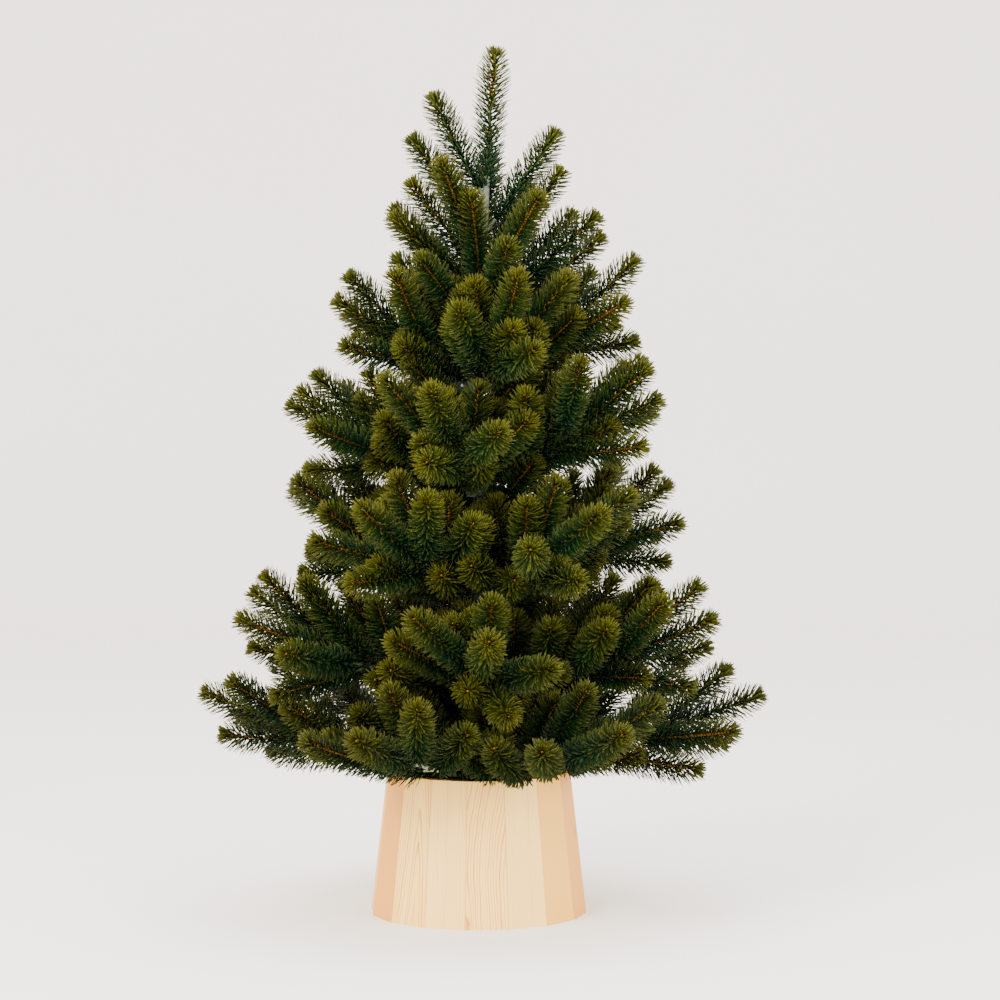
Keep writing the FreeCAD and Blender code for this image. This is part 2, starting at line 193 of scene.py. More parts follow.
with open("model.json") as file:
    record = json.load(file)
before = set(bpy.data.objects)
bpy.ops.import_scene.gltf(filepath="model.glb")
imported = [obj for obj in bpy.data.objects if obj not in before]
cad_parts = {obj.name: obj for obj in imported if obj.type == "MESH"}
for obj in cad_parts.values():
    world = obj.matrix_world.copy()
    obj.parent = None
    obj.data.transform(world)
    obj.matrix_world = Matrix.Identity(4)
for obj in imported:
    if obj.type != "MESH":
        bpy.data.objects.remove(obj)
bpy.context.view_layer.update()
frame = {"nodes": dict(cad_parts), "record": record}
record = frame["record"]
joints = record["behaviour"]["joints"]


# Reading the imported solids


def solids_of(node):
    """Corner points of each separate solid in a CAD node, as arrays, in a repeatable order."""
    mesh = frame["nodes"][node].data
    points = np.empty(len(mesh.vertices) * 3)
    mesh.vertices.foreach_get("co", points)
    points = points.reshape(-1, 3)
    _, first, same = np.unique(
        np.round(points * 1e6), axis=0, return_index=True, return_inverse=True
    )
    same = same.ravel()
    edges = np.empty(len(mesh.edges) * 2, dtype=np.int64)
    mesh.edges.foreach_get("vertices", edges)
    edges = same[edges].reshape(-1, 2)
    label = np.arange(len(first))
    while True:
        lowest = np.minimum(label[edges[:, 0]], label[edges[:, 1]])
        spread = label.copy()
        np.minimum.at(spread, edges[:, 0], lowest)
        np.minimum.at(spread, edges[:, 1], lowest)
        if (spread == label).all():
            break
        label = spread
    corners = points[first]
    return [corners[label == value] for value in np.unique(label)]


def spindle_axis(points, root):
    """Base and tip of a slim spindle; its base is the end nearer to root."""
    centre = points.mean(axis=0)
    axis = np.linalg.svd(points - centre, full_matrices=False)[2][0]
    places = (points - centre) @ axis
    ends = [centre + axis * places.min(), centre + axis * places.max()]
    ends.sort(key=lambda end: np.linalg.norm(end - root))
    return ends


# Sprig geometry


def unit(vectors):
    return vectors / np.linalg.norm(vectors, axis=-1, keepdims=True)


class Sprig:
    """A curved axis from base to tip, which bows upwards a little, with a frame along it."""

    def __init__(self, base, tip, chance):
        self.base = base
        self.reach = tip - base
        self.length = np.linalg.norm(self.reach) + CORE_END_GAP
        self.along = unit(self.reach)
        up = np.array([0.0, 0.0, 1.0]) - self.along * self.along[2]
        if np.linalg.norm(up) < 0.2:
            up = np.array([1.0, 0.0, 0.0]) - self.along * self.along[0]
        self.up = unit(up)
        self.side = np.cross(self.along, self.up)
        steep = abs(self.along[2])
        self.bow = self.length * (chance.uniform(0.05, 0.11) * (1 - 0.7 * steep))
        self.sway = self.length * chance.uniform(-0.035, 0.035)
        self.tone = chance.uniform(0, 1)
        self.foot_radius = TWIG_RADIUS
        self.start = 0.01

    def lift(self):
        return self.up * self.bow + self.side * self.sway

    def point(self, place):
        place = np.asarray(place)[..., None]
        return self.base + self.along * self.length * place + self.lift() * place**2

    def tangent(self, place):
        place = np.asarray(place)[..., None]
        return unit(self.along * self.length + 2 * self.lift() * place)


def needle_layout(sprig, chance):
    """Place along the sprig, turn about it, spread from it, and length of every needle."""
    whorls = max(4, int((sprig.length - DOME_LENGTH) / WHORL_PITCH))
    end = 1 - DOME_LENGTH / sprig.length
    row = np.repeat(np.arange(whorls), WHORL_NEEDLES)
    spoke = np.tile(np.arange(WHORL_NEEDLES), whorls)
    step = (end - sprig.start) * (row + chance.normal(0, 0.13, len(row))) / (whorls - 1)
    place = sprig.start + step
    turn = spoke + 0.5 * row + chance.normal(0, TURN_JITTER, len(row))
    turn = turn * 2 * math.pi / WHORL_NEEDLES
    near_end = np.clip((place / end - 0.80) / 0.20, 0, 1)
    spread = NEEDLE_SPREAD + (NEEDLE_END_SPREAD - NEEDLE_SPREAD) * near_end**1.4
    length = NEEDLE_LENGTH + (1.18 * DOME_LENGTH - NEEDLE_LENGTH) * near_end**1.6
    length = length * (0.84 + 0.16 * np.clip(place / 0.10, 0, 1))
    order = np.arange(DOME_NEEDLES)
    place = np.concatenate([place, np.full(DOME_NEEDLES, end)])
    turn = np.concatenate([turn, order * GOLDEN_ANGLE])
    spread = np.concatenate([spread, np.radians(15 + 36 * np.sqrt(order / DOME_NEEDLES))])
    length = np.concatenate([length, np.full(DOME_NEEDLES, DOME_LENGTH)])
    spread = spread + np.radians(chance.normal(0, SPREAD_JITTER, len(spread)))
    length = length * chance.uniform(0.90, 1.06, len(length))
    return np.minimum(place, end), turn, np.maximum(spread, 0.03), length


def needle_faces(count):
    """Four-sided and three-sided faces of that many needles, each of three rings and a point."""
    quads = []
    for ring in (0, 3):
        for a, b in NEEDLE_TRIANGLE:
            quads.append((ring + a, ring + b, ring + 3 + b, ring + 3 + a))
    triangles = [(6 + a, 6 + b, 9) for a, b in NEEDLE_TRIANGLE]
    triangles.append((2, 1, 0))
    shift = (np.arange(count) * NEEDLE_POINTS)[:, None, None]
    quads = (np.array(quads)[None] + shift).reshape(-1, 4)
    return quads, (np.array(triangles)[None] + shift).reshape(-1, 3)


def needles(sprig, chance):
    """Points, faces and attributes of all needles of a sprig: three-sided, curled and tapered."""
    place, turn, spread, length = needle_layout(sprig, chance)
    count = len(place)
    tangent = sprig.tangent(place)
    outward_a = unit(np.cross(tangent, np.broadcast_to(sprig.side, tangent.shape)))
    outward_b = np.cross(tangent, outward_a)
    outward = outward_a * np.cos(turn)[:, None] + outward_b * np.sin(turn)[:, None]
    root = sprig.point(place) + outward * (TWIG_TIP_RADIUS * 0.8)
    flat = np.cross(tangent, outward)
    jitter = np.radians(chance.normal(0, CURL_JITTER, count))
    curl = np.minimum(spread * 0.5, NEEDLE_CURL) + jitter

    def heading(angle):
        return tangent * np.cos(angle)[:, None] + outward * np.sin(angle)[:, None]

    start, end = heading(spread), heading(spread - curl)
    wobble = flat * np.radians(chance.normal(0, 4, count))[:, None]
    points = np.empty((count, NEEDLE_POINTS, 3))
    half_width = NEEDLE_HALF_WIDTH * chance.uniform(0.85, 1.12, count)[:, None]
    for ring, (share, width) in enumerate(zip(NEEDLE_RING_PLACES, NEEDLE_RING_WIDTHS)):
        bend = share**2 * (0.5 * (end - start) + wobble)
        centre = root + length[:, None] * (share * start + bend)
        direction = unit(start + share * (end - start))
        across = flat * half_width * width
        ridge = np.cross(direction, flat) * half_width * width
        points[:, 3 * ring] = centre + across - 0.25 * ridge
        points[:, 3 * ring + 1] = centre - across - 0.25 * ridge
        points[:, 3 * ring + 2] = centre + 0.62 * ridge
    points[:, 9] = root + length[:, None] * (start + 0.5 * (end - start) + wobble)
    out = np.repeat(np.array(list(NEEDLE_RING_PLACES) + [1.0]), [3, 3, 3, 1])
    attributes = {
        "along": np.repeat(place, NEEDLE_POINTS),
        "out": np.tile(out, count),
        "vary": np.repeat(chance.uniform(0, 1, count), NEEDLE_POINTS),
        "woody": np.zeros(count * NEEDLE_POINTS),
    }
    return points.reshape(-1, 3), *needle_faces(count), attributes


def twig_faces(rings):
    """Faces of a closed tube of that many rings, whose two end points come last."""
    quads, triangles = [], []
    last = (rings - 1) * TWIG_SIDES
    for a in range(TWIG_SIDES):
        b = (a + 1) % TWIG_SIDES
        for low in range(0, last, TWIG_SIDES):
            high = low + TWIG_SIDES
            quads.append((low + b, low + a, high + a, high + b))
        triangles.append((a, b, last + TWIG_SIDES))
        triangles.append((last + b, last + a, last + TWIG_SIDES + 1))
    return np.array(quads), np.array(triangles)


def twig(sprig, chance):
    """The moulded twig in the middle of a sprig, closed at both ends, with a bud."""
    end = 1 - DOME_LENGTH / sprig.length
    places = np.linspace(0.0, end, TWIG_RINGS)
    taper = (1 - places / end) ** 2
    radii = TWIG_TIP_RADIUS + (sprig.foot_radius - TWIG_TIP_RADIUS) * taper
    places = np.concatenate([places, end + BUD_PLACES / sprig.length])
    radii = np.concatenate([radii, BUD_RADII])
    angles = np.arange(TWIG_SIDES) * 2 * math.pi / TWIG_SIDES
    rings = []
    for place, radius in zip(places, radii * chance.uniform(0.9, 1.1, len(radii))):
        tangent = sprig.tangent(place)
        across = unit(np.cross(tangent, sprig.side))
        over = np.cross(tangent, across)
        circle = across * np.cos(angles)[:, None] + over * np.sin(angles)[:, None]
        rings.append(sprig.point(place) + circle * radius)
    ends = [sprig.point(-0.005), sprig.point(places[-1] + 0.005)]
    points = np.concatenate(rings + [np.array(ends)])
    attributes = {
        "along": np.concatenate([np.repeat(places, TWIG_SIDES), [0.0, 1.0]]),
        "out": np.zeros(len(points)),
        "vary": chance.uniform(0, 1, len(points)),
        "woody": np.ones(len(points)),
    }
    return points, *twig_faces(len(places)), attributes


def mesh_object(name, points, quads, triangles, attributes, material):
    """A smooth mesh object from arrays, with one float attribute per point for each named array."""
    mesh = bpy.data.meshes.new(name)
    mesh.vertices.add(len(points))
    mesh.vertices.foreach_set("co", points.astype(np.float32).ravel())
    corners = np.concatenate([quads.ravel(), triangles.ravel()])
    starts = np.concatenate(
        [np.arange(len(quads)) * 4, len(quads) * 4 + np.arange(len(triangles)) * 3]
    )
    mesh.loops.add(len(corners))
    mesh.loops.foreach_set("vertex_index", corners.astype(np.int32))
    mesh.polygons.add(len(starts))
    mesh.polygons.foreach_set("loop_start", starts.astype(np.int32))
    mesh.update(calc_edges=True)
    mesh.shade_smooth()
    for key, values in attributes.items():
        layer = mesh.attributes.new(key, "FLOAT", "POINT")
        layer.data.foreach_set("value", values.astype(np.float32))
    mesh.materials.append(material)
    made = bpy.data.objects.new(name, mesh)
    bpy.context.collection.objects.link(made)
    return made


def heading_of(azimuth, slope):
    """Unit vector at an azimuth about the pole and a slope above the floor, both in radians."""
    flat = np.array([math.cos(azimuth), math.sin(azimuth), 0.0])
    return flat * math.cos(slope) + np.array([0.0, 0.0, math.sin(slope)])


def crown_filler_axes():
    """Ends of extra soft sprigs that leave the upper rod."""
    extra = []
    for height, azimuth, lift, twig_length, length in CROWN_FILLERS:
        heading = heading_of(math.radians(azimuth), math.radians(lift))
        start = CROWN_ROD + np.array([0.0, 0.0, height * MM]) + heading * (twig_length * MM)
        extra.append((start, start + heading * (length * MM)))
    return extra


def pole_filler_axes(chance):
    """Ends of extra soft sprigs that fill the pole's bare stretches between the tiers."""
    extra = []
    for height, count, lift, length in POLE_FILLERS:
        azimuths = chance.uniform(0, 2 * math.pi) + np.arange(count) * 2 * math.pi / count
        for azimuth in azimuths:
            slope = math.radians(lift + chance.uniform(-12, 12))
            azimuth = azimuth + math.radians(chance.uniform(-32, 32))
            if -math.sin(azimuth) > POLE_FRONT_CLEAR and height > LOWEST_POLE_FILLER:
                continue
            heading = heading_of(azimuth, slope)
            foot = np.array([0.0, 0.0, (height + chance.uniform(-8, 8)) * MM])
            start = foot + heading * POLE_FILLER_ROOT
            extra.append((start, start + heading * ((length + chance.uniform(-8, 8)) * MM)))
    return extra


def terminal_sprig(axes, root):
    """The sprig that carries on straight from the stem."""

    def askew(ends):
        return np.linalg.norm(np.cross(unit(ends[0] - root), unit(ends[1] - ends[0])))

    return min(axes, key=askew)


def filler_rows(body, root):
    """The extra sprigs of one branch, from the common table and its own."""
    rows = FILLERS
    if root[2] <= LOWEST_DROOP:
        rows = [row for row in rows if row[0] < LOWEST_TIER_REACH and row[2] > 0]
    return rows + BRANCH_FILLERS.get(body, [])


def filler_axes(body, axes, root, chance):
    """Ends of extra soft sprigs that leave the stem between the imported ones."""
    stem = terminal_sprig(axes, root)[0] - root
    along = unit(stem)
    left = unit(np.cross([0.0, 0.0, 1.0], along))
    above = np.cross(along, left)
    extra = []
    for place, turn, rise, length in filler_rows(body, root):
        turn = math.radians(turn + chance.uniform(-6, 6))
        rise = math.radians(rise + chance.uniform(-4, 4))
        flat = along * math.cos(turn) + left * math.sin(turn)
        heading = flat * math.cos(rise) + above * math.sin(rise)
        start = root + stem * place
        extra.append((start, start + heading * (length * MM)))
    return extra


def shaped_sprig(body, base, tip, chance):
    """A sprig's axis, with the leader's bare foot and the curl over the collar's rim."""
    sprig = Sprig(base, tip, chance)
    if base[2] > LEADER_FOOT_HEIGHT:
        sprig.foot_radius = LEADER_FOOT_RADIUS
        sprig.start = LEADER_START
    if body in OVER_COLLAR and tip[2] < OVER_COLLAR_HEIGHT:
        sprig.bow += OVER_COLLAR_HEIGHT - tip[2]
    return sprig


def foliage(name, body, axes, chance, material):
    """Needles and twigs along every axis, as one piece that rides on the body."""
    parts = []
    for base, tip in axes:
        sprig = shaped_sprig(body, base, tip, chance)
        for part in (needles(sprig, chance), twig(sprig, chance)):
            part[3]["tone"] = np.full(len(part[0]), sprig.tone)
            parts.append(part)
    shift = np.cumsum([0] + [len(part[0]) for part in parts[:-1]])
    piece = mesh_object(
        name,
        np.concatenate([part[0] for part in parts]),
        np.concatenate([part[1] + move for part, move in zip(parts, shift)]),
        np.concatenate([part[2] + move for part, move in zip(parts, shift)]),
        {key: np.concatenate([part[3][key] for part in parts]) for key in parts[0][3]},
        material,
    )
    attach(piece, body)
    return piece


def branch_foliage(body, root, seed, material):
    """All sprigs of one branch, which stand for its packed sprigs."""
    chance = np.random.default_rng(seed)
    axes = [spindle_axis(points, root) for points in solids_of(body + "_sprigs")]
    axes += filler_axes(body, axes, root, chance)
    piece = foliage(body + "_foliage", body, axes, chance, material)
    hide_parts(body + "_sprigs")


def pole_foliage(material):
    """The crown's sprigs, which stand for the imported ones, and the extra ones down the pole."""
    chance = np.random.default_rng(99)
    root = np.array([0.0, 0.0, 0.45])
    axes = [spindle_axis(points, root) for points in solids_of("crown_sprigs")]
    piece = foliage("crown_foliage", "tree_pole", axes + crown_filler_axes(), chance, material)
    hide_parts("crown_sprigs")
    axes = pole_filler_axes(chance)
    size = math.ceil(len(axes) / POLE_PIECES)
    for part in range(POLE_PIECES):
        some = axes[part * size : (part + 1) * size]
        foliage("pole_foliage_%d" % (part + 1), "tree_pole", some, chance, material)


# Materials


class Shader:
    """Small helper that adds nodes to a new material and links them."""

    def __init__(self, name, **sockets):
        self.material = bpy.data.materials.new(name)
        self.material.use_nodes = True
        self.tree = self.material.node_tree
        self.surface = self.tree.nodes["Principled BSDF"]
        for socket, value in sockets.items():
            self.surface.inputs[socket.replace("_", " ")].default_value = value

    def node(self, kind, inputs=None, **settings):
        made = self.tree.nodes.new("ShaderNode" + kind)
        for key, value in settings.items():
            setattr(made, key, value)
        for socket, value in (inputs or {}).items():
            self.feed(made.inputs[socket], value)
        return made

    def feed(self, socket, value):
        if isinstance(value, bpy.types.NodeSocket):
            self.tree.links.new(value, socket)
        elif isinstance(value, bpy.types.Node):
            self.tree.links.new(value.outputs[0], socket)
        else:
            socket.default_value = value

    def attribute(self, name, output="Fac"):
        return self.node("Attribute", attribute_name=name).outputs[output]

    def math(self, operation, *values, clamp=False):
        made = self.node("Math", operation=operation, use_clamp=clamp)
        for socket, value in zip(made.inputs, values):
            self.feed(socket, value)
        return made.outputs[0]

    def ramp(self, value, stops):
        made = self.node("ValToRGB", {"Fac": value})
        elements = made.color_ramp.elements
        while len(elements) < len(stops):
            elements.new(0.5)
        for element, (place, colour) in zip(elements, stops):
            element.position = place
            element.color = (*colour, 1.0)
        return made.outputs["Color"]

    def mix(self, share, a, b, blend="MIX"):
        made = self.node("Mix", data_type="RGBA", blend_type=blend)
        self.feed(made.inputs[0], share)
        for socket, value in ((made.inputs[6], a), (made.inputs[7], b)):
            if isinstance(value, tuple) and len(value) == 3:
                value = (*value, 1.0)
            self.feed(socket, value)
        return made.outputs[2]

    def noise(self, scale, detail=2.0, vector=None, roughness=0.5):
        inputs = {"Scale": scale, "Detail": detail, "Roughness": roughness}
        if vector is not None:
            inputs["Vector"] = vector
        else:
            inputs["Vector"] = self.node("TexCoord").outputs["Object"]
        return self.node("TexNoise", inputs)

    def bump(self, height, strength, distance):
        made = self.node("Bump", {"Height": height, "Strength": strength, "Distance": distance})
        self.tree.links.new(made.outputs["Normal"], self.surface.inputs["Normal"])

    def colour(self, value):
        self.feed(self.surface.inputs["Base Color"], value)

    def far(self, a, b):
        """Length of the flat vector (a, b)."""
        return self.math("SQRT", self.math("MULTIPLY_ADD", a, a, self.math("MULTIPLY", b, b)))


def needle_age(shader, along, out, vary, tone):
    """How far a needle's colour has turned from blue-green to olive."""
    patch = shader.noise(22.0).outputs["Fac"]
    age = shader.math("MULTIPLY_ADD", patch, 0.34, shader.math("ADD", along, -0.17))
    age = shader.math("MULTIPLY_ADD", tone, 0.20, shader.math("ADD", age, -0.08))
    age = shader.math("MULTIPLY_ADD", vary, 0.14, shader.math("ADD", age, -0.07))
    return shader.math("MULTIPLY_ADD", out, 0.10, shader.math("ADD", age, -0.03))


def needle_grey_and_painted_shade(shader, vary):
    """A grey that differs from needle to needle, times painted shade that darkens the needles towards
    the foot of the tree.
    """
    bright = shader.math("MULTIPLY_ADD", vary, 0.50, 0.58)
    place = shader.node("TexCoord").outputs["Object"]
    height = shader.node("SeparateXYZ", {0: place}).outputs[2]
    # Painted shade: the needles darken by up to about a third from 0.42 m down to 0.12 m, where the
    # lower sprigs get less light
    painted_shade_share = shader.math("DIVIDE", shader.math("SUBTRACT", 0.42, height), 0.30, clamp=True)
    bright = shader.math("MULTIPLY", bright, shader.math("MULTIPLY_ADD", painted_shade_share, -0.34, 1.0))
    return shader.node("CombineColor", {0: bright, 1: bright, 2: bright})


def needle_material():
    """Dark blue-green at the foot of a sprig to olive at its end, with pale needle points."""
    shader = Shader("moulded_needles", Roughness=0.44, Specular_IOR_Level=0.12)
    along = shader.attribute("along")
    out = shader.attribute("out")
    vary = shader.attribute("vary")
    tone = shader.attribute("tone")
    green = shader.ramp(
        needle_age(shader, along, out, vary, tone),
        [
            (0.14, (0.001, 0.030, 0.013)),
            (0.48, (0.002, 0.029, 0.006)),
            (0.74, (0.018, 0.032, 0.001)),
            (1.0, (0.058, 0.060, 0.001)),
        ],
    )
    point = shader.math("MULTIPLY", shader.math("POWER", out, 4.0), 0.42)
    green = shader.mix(point, green, (0.16, 0.145, 0.010))
    # The needles' own grey, times the painted shade towards the foot of the tree
    green = shader.mix(1.0, green, needle_grey_and_painted_shade(shader, vary), "MULTIPLY")
    bark = shader.ramp(
        shader.math("MULTIPLY_ADD", tone, 0.3, shader.math("ADD", along, -0.15)),
        [
            (0.20, (0.020, 0.034, 0.006)),
            (0.42, (0.130, 0.075, 0.003)),
            (0.86, (0.320, 0.112, 0.003)),
        ],
    )
    shader.colour(shader.mix(shader.attribute("woody"), green, bark))
    return shader.material


def tape_material():
    """Blotchy grey-green paper tape, wound at a slant."""
    shader = Shader("floral_tape", Roughness=0.72, Specular_IOR_Level=0.3)
    blotch = shader.noise(90.0, 4.0).outputs["Fac"]
    shader.colour(
        shader.ramp(
            blotch,
            [
                (0.30, (0.070, 0.088, 0.055)),
                (0.50, (0.170, 0.205, 0.140)),
                (0.72, (0.330, 0.370, 0.270)),
            ],
        )
    )
    place = shader.node("TexCoord").outputs["Object"]
    wraps = shader.node(
        "TexWave",
        {"Scale": 75.0, "Distortion": 3.0, "Detail": 2.0, "Vector": place},
        wave_type="BANDS",
        bands_direction="DIAGONAL",
    )
    shader.bump(wraps.outputs["Fac"], 0.5, 0.0004)
    return shader.material


def steel_material(name, colours, roughness, grain, metallic=0.0):
    """Steel, painted or bare, with a fine speckle in its colour and its roughness."""
    shader = Shader(name, Metallic=metallic)
    speckle = shader.noise(grain, 3.0).outputs["Fac"]
    shader.colour(shader.ramp(speckle, [(0.3, colours[0]), (0.7, colours[1])]))
    low, high = roughness
    shader.feed(
        shader.surface.inputs["Roughness"],
        shader.math("MULTIPLY_ADD", speckle, high - low, low),
    )
    shader.bump(speckle, 0.25, 0.0002)
    return shader.material


def plank_place(shader, across, deep, high, look):
    """Texture place in a stave, stretched along it and different in each stave."""
    apart = shader.math("MULTIPLY", look["stave_tone"], 9.0)
    deep = shader.math("ADD", deep, apart)
    return shader.node("CombineXYZ", {0: across, 1: deep, 2: shader.math("MULTIPLY", high, 0.22)})


def knot_distance(shader, across, high, look):
    side = shader.math("SUBTRACT", across, look["knot_across"])
    rise = shader.math("MULTIPLY", shader.math("SUBTRACT", high, look["knot_up"]), 0.42)
    return shader.far(side, rise)


def ring_field(shader, across, deep, high, look, place, knot_far):
    """Distance from the tree's heart, wavering, and pushed aside round the knot."""
    waver = shader.noise(60.0, 2.0, place.outputs[0]).outputs["Fac"]
    waver = shader.math("MULTIPLY_ADD", waver, 0.008, -0.004)
    height = shader.math("SUBTRACT", high, 0.045)
    bowed = shader.math("MULTIPLY", shader.math("MULTIPLY", height, height), look["ring_bow"])
    side = shader.math("SUBTRACT", shader.math("SUBTRACT", across, bowed), look["ring_across"])
    radius = shader.far(side, shader.math("ADD", deep, look["ring_depth"]))
    radius = shader.math("ADD", radius, waver)
    field = shader.math("MULTIPLY_ADD", high, look["ring_slope"], radius)
    around = shader.math("EXPONENT", shader.math("MULTIPLY", knot_far, -160.0))
    return shader.math("MULTIPLY_ADD", around, 0.005, field)


def late_wood(shader, field, look):
    """Share of dark late wood: it builds up through each ring, more in some rings than others."""
    pitch = shader.math("MULTIPLY", field, RINGS_PER_METRE)
    late = shader.ramp(
        shader.math("FRACT", pitch),
        [(0.0, (0, 0, 0)), (0.45, (0.05, 0.05, 0.05)), (0.86, (1, 1, 1)), (1.0, (0, 0, 0))],
    )
    ring = shader.math("FLOOR", pitch)
    chance = shader.node("TexWhiteNoise", {"W": ring}, noise_dimensions="1D").outputs["Value"]
    strength = shader.math("MULTIPLY_ADD", shader.math("POWER", chance, 1.2), 1.3, 0.25)
    return shader.math("MULTIPLY", shader.math("MULTIPLY", late, strength), look["ring_strength"])


def joint_line(shader, across, high):
    """Share of the darker line along a stave's two long edges."""
    half = shader.math("MULTIPLY_ADD", high, -STAVE_NARROWING, STAVE_HALF_WIDTH)
    to_edge = shader.math("SUBTRACT", half, shader.math("ABSOLUTE", across))
    return shader.math("SUBTRACT", 1.0, shader.math("DIVIDE", to_edge, JOINT_LINE), clamp=True)


def pine_material():
    """Growth rings cut at a different depth and slope in each stave, fibres, knots, and a tone."""
    shader = Shader("pine", Roughness=0.46, Specular_IOR_Level=0.30)
    split = shader.node("SeparateXYZ", {0: shader.attribute("grain", "Vector")})
    across, deep, high = split.outputs
    look = {key: shader.attribute(key) for key in STAVE_KEYS}
    place = plank_place(shader, across, deep, high, look)
    knot_far = knot_distance(shader, across, high, look)
    field = ring_field(shader, across, deep, high, look, place, knot_far)
    late = late_wood(shader, field, look)
    flat_high = shader.math("MULTIPLY", high, 0.02)
    fibre_place = shader.node("CombineXYZ", {0: across, 1: deep, 2: flat_high})
    fibre = shader.noise(1300.0, 3.0, fibre_place.outputs[0]).outputs["Fac"]
    pale = shader.ramp(
        look["stave_tone"],
        [
            (0.0, (0.640, 0.215, 0.006)),
            (0.40, (0.850, 0.430, 0.050)),
            (0.70, (0.985, 0.650, 0.185)),
            (1.0, (0.985, 0.680, 0.160)),
        ],
    )
    broad = shader.noise(45.0, 2.0, place.outputs[0]).outputs["Fac"]
    body = shader.mix(shader.math("MULTIPLY", broad, 0.35), pale, (0.95, 0.46, 0.05))
    body = shader.mix(late, body, (0.740, 0.225, 0.004))
    body = shader.mix(shader.math("MULTIPLY", fibre, 0.10), body, (0.60, 0.42, 0.26))
    knot = shader.math("SUBTRACT", 1.0, shader.math("DIVIDE", knot_far, KNOT_RADIUS), clamp=True)
    body = shader.mix(shader.math("MULTIPLY", knot, 0.90), body, (0.55, 0.18, 0.02))
    joint = joint_line(shader, across, high)
    body = shader.mix(shader.math("MULTIPLY", joint, 0.62), body, (0.70, 0.28, 0.03))
    shader.colour(body)
    gloss = shader.math("MULTIPLY_ADD", late, -0.10, 0.50)
    shader.feed(shader.surface.inputs["Roughness"], gloss)
    relief = shader.math("MULTIPLY_ADD", late, 0.5, shader.math("MULTIPLY", fibre, 0.3))
    shader.bump(relief, 0.15, 0.0003)
    return shader.material


# Collar


def rings_of_corners():
    """The collar's corner points, by level and side, in order around it from the front seam."""
    mesh = frame["nodes"]["collar_staves"].data
    points = np.empty(len(mesh.vertices) * 3)
    mesh.vertices.foreach_get("co", points)
    points = np.unique(np.round(points.reshape(-1, 3), 6), axis=0)
    rings = {}
    for high in (False, True):
        level = points[(points[:, 2] > points[:, 2].mean()) == high]
        radius = np.hypot(level[:, 0], level[:, 1])
        for outer in (False, True):
            ring = level[(radius > radius.mean()) == outer]
            turn = (np.arctan2(ring[:, 1], ring[:, 0]) - FRONT_SEAM + 0.01) % (2 * math.pi)
            rings[high, outer] = ring[np.argsort(turn)]
    return rings


def eased_stave(rings, index):
    """Points and faces of one stave with its long edges and ends rounded over."""
    after = (index + 1) % len(STAVE_LOOKS)
    shaped = bmesh.new()
    corners = [
        shaped.verts.new(rings[high, outer][at])
        for high in (False, True)
        for outer, at in ((True, index), (True, after), (False, after), (False, index))
    ]
    loops = [(3, 2, 1, 0), (4, 5, 6, 7)]
    loops += [(i, (i + 1) % 4, 4 + (i + 1) % 4, 4 + i) for i in range(4)]
    for loop in loops:
        shaped.faces.new([corners[i] for i in loop])
    bmesh.ops.bevel(
        shaped,
        geom=shaped.edges[:],
        offset=STAVE_BEVEL,
        segments=2,
        profile=0.6,
        affect="EDGES",
    )
    shaped.verts.index_update()
    points = np.array([vert.co[:] for vert in shaped.verts])
    faces = [[vert.index for vert in face.verts] for face in shaped.faces]
    shaped.free()
    return points, faces


def stave_grain(points):
    """Place of each point across, into and up its own plank, measured from the outer face."""
    middle = points.mean(axis=0)
    azimuth = math.atan2(middle[1], middle[0])
    outward = np.array([math.cos(azimuth), math.sin(azimuth), 0.0])
    across = np.array([-math.sin(azimuth), math.cos(azimuth), 0.0])
    depth = points @ outward
    lean = (depth.max() - depth.min() - STAVE_BEVEL) / np.ptp(points[:, 2])
    face = (middle @ outward) + (middle[2] - points[:, 2]) * lean * 0.5
    return np.stack([points @ across, face - depth, points[:, 2]], axis=1)


def collar(material):
    """The sixteen staves with eased edges, each with its own cut through the growth rings."""
    rings = rings_of_corners()
    points, faces, grain, looks = [], [], [], []
    count = 0
    for index, look in enumerate(STAVE_LOOKS):
        stave_points, stave_faces = eased_stave(rings, index)
        points.append(stave_points)
        faces += [[count + i for i in face] for face in stave_faces]
        grain.append(stave_grain(stave_points))
        looks.append(np.tile(np.array(look), (len(stave_points), 1)))
        count += len(stave_points)
    mesh = bpy.data.meshes.new("collar_staves_eased")
    mesh.from_pydata(np.concatenate(points), [], faces)
    grain_layer = mesh.attributes.new("grain", "FLOAT_VECTOR", "POINT")
    grain_layer.data.foreach_set("vector", np.concatenate(grain).ravel())
    looks = np.concatenate(looks)
    for column, key in enumerate(STAVE_KEYS):
        layer = mesh.attributes.new(key, "FLOAT", "POINT")
        layer.data.foreach_set("value", np.ascontiguousarray(looks[:, column]))
    mesh.materials.append(material)
    piece = bpy.data.objects.new("collar_staves_eased", mesh)
    bpy.context.collection.objects.link(piece)
    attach(piece, "base")
    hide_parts("collar_staves")


# Assembly


def dress_tree():
    """All foliage: one seed for each branch, in the order of their names."""
    material = needle_material()
    hinges = {
        joint["child"]: np.array(joint["pos_m"]) for joint in joints if joint["type"] == "hinge"
    }
    for seed, (body, root) in enumerate(sorted(hinges.items())):
        branch_foliage(body, root, seed, material)
    pole_foliage(material)


def finishes():
    """Material of each hard node that isn't taped wire."""
    zinc_greys = ((0.42, 0.42, 0.40), (0.62, 0.62, 0.60))
    zinc = steel_material("zinc", zinc_greys, (0.25, 0.42), 500.0, 1.0)
    blacks = ((0.010, 0.011, 0.010), (0.022, 0.024, 0.022))
    powder = steel_material("powder_coat", blacks, (0.38, 0.55), 1400.0)
    greens = ((0.022, 0.040, 0.024), (0.040, 0.062, 0.038))
    paint = steel_material("hub_paint", greens, (0.45, 0.6), 700.0)
    chosen = {node: zinc for node in ("spider_screws", "clamp_screw", "hinge_pins")}
    chosen["stand_spider"] = powder
    chosen.update({node: paint for node in frame["nodes"] if node.startswith("hub_")})
    return chosen


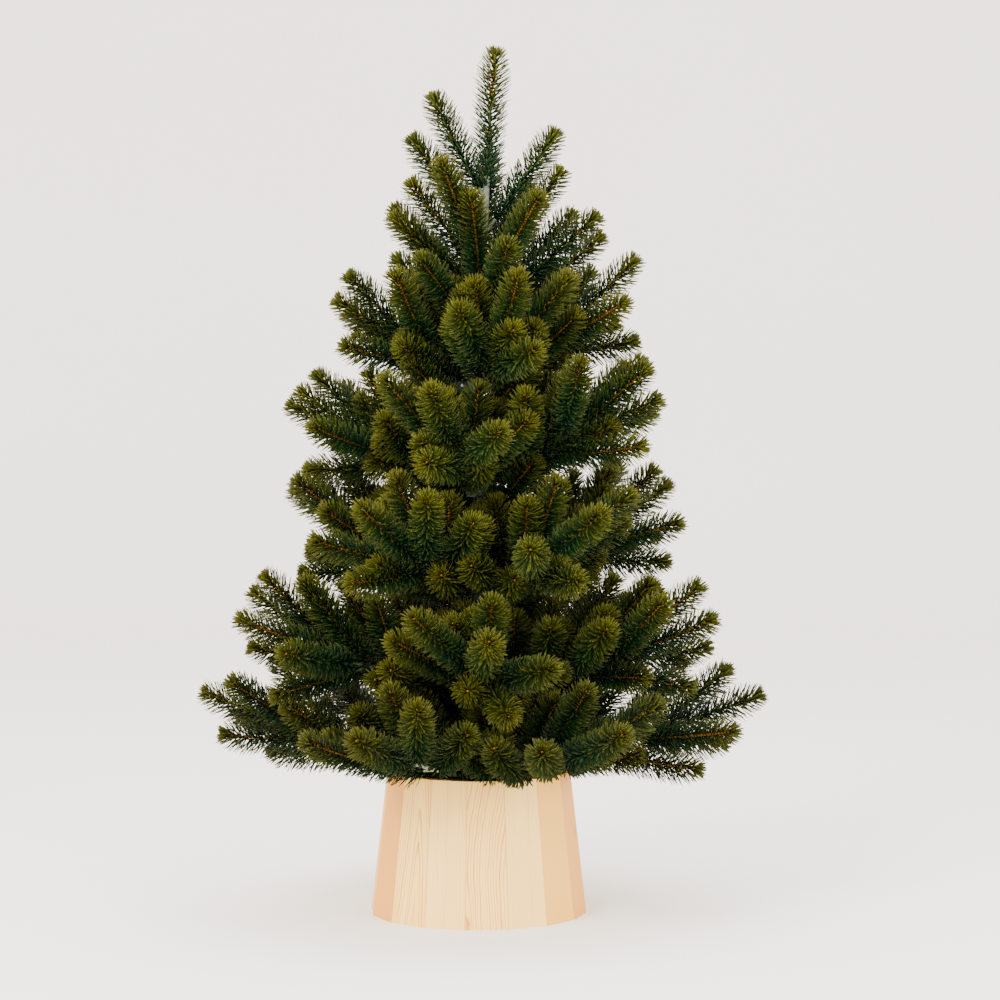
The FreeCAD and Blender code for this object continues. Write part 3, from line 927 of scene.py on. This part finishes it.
def dress_hard_parts():
    """Materials for the nodes that are shown as packed."""
    tape = tape_material()
    chosen = finishes()
    for node, made in frame["nodes"].items():
        if node.endswith("_sprigs") or node == "collar_staves":
            continue
        made.data.materials.clear()
        made.data.materials.append(chosen.get(node, tape))


# Stage, light and camera


def stage():
    """A pale floor that sweeps up into a pale backdrop."""
    shader = Shader("pale_stage", Roughness=0.85, Specular_IOR_Level=0.2)
    cloud = shader.noise(1.3, 2.0).outputs["Fac"]
    shader.colour(shader.ramp(cloud, [(0.3, (0.93, 0.885, 0.825)), (0.7, (0.95, 0.91, 0.85))]))
    width, front, back, rise, bend = 9.0, -6.0, 4.6, 6.0, 1.2
    profile = [(front, 0.0), (back - bend, 0.0)]
    steps = 16
    for step in range(1, steps):
        angle = math.pi / 2 * step / steps
        profile.append((back - bend + bend * math.sin(angle), bend - bend * math.cos(angle)))
    profile += [(back, bend), (back, rise)]
    points = [(x, y, z) for y, z in profile for x in (-width, width)]
    faces = [(2 * i, 2 * i + 1, 2 * i + 3, 2 * i + 2) for i in range(len(profile) - 1)]
    mesh = bpy.data.meshes.new("pale_floor")
    mesh.from_pydata(points, [], faces)
    mesh.shade_smooth()
    mesh.materials.append(shader.material)
    floor = bpy.data.objects.new("pale_floor", mesh)
    bpy.context.collection.objects.link(floor)


def area_light(name, place, target, size, power, colour):
    data = bpy.data.lights.new(name, "AREA")
    data.shape = "DISK"
    data.size = size
    data.energy = power
    data.color = colour
    made = bpy.data.objects.new(name, data)
    made.location = place
    made.rotation_mode = "QUATERNION"
    made.rotation_quaternion = (Vector(target) - Vector(place)).to_track_quat("-Z", "Y")
    bpy.context.collection.objects.link(made)


def lights():
    middle = (0.0, 0.0, 0.45)
    area_light("key", (-1.7, -2.4, 2.1), middle, 1.6, 185.0, (1.0, 0.965, 0.92))
    area_light("fill", (2.2, -1.9, 1.3), middle, 1.8, 66.0, (0.96, 0.98, 1.0))
    area_light("top", (0.2, 0.3, 2.6), middle, 1.6, 44.0, (1.0, 0.99, 0.97))
    world = bpy.data.worlds.new("soft_room")
    world.use_nodes = True
    back = world.node_tree.nodes["Background"]
    back.inputs["Color"].default_value = (1.0, 0.975, 0.95, 1.0)
    back.inputs["Strength"].default_value = 2.9
    bpy.context.scene.world = world


def camera():
    """At the height of a seated viewer about three metres in front, tilted down a little."""
    data = bpy.data.cameras.new("camera")
    data.lens = 102.6
    data.sensor_width = 36.0
    made = bpy.data.objects.new("camera", data)
    made.location = (0.0224, -2.960, 0.538)
    made.rotation_euler = (math.radians(90 - 2.11), 0.0, 0.0)
    bpy.context.collection.objects.link(made)
    bpy.context.scene.camera = made


camera()
stage()
lights()
collar(pine_material())
dress_hard_parts()
dress_tree()
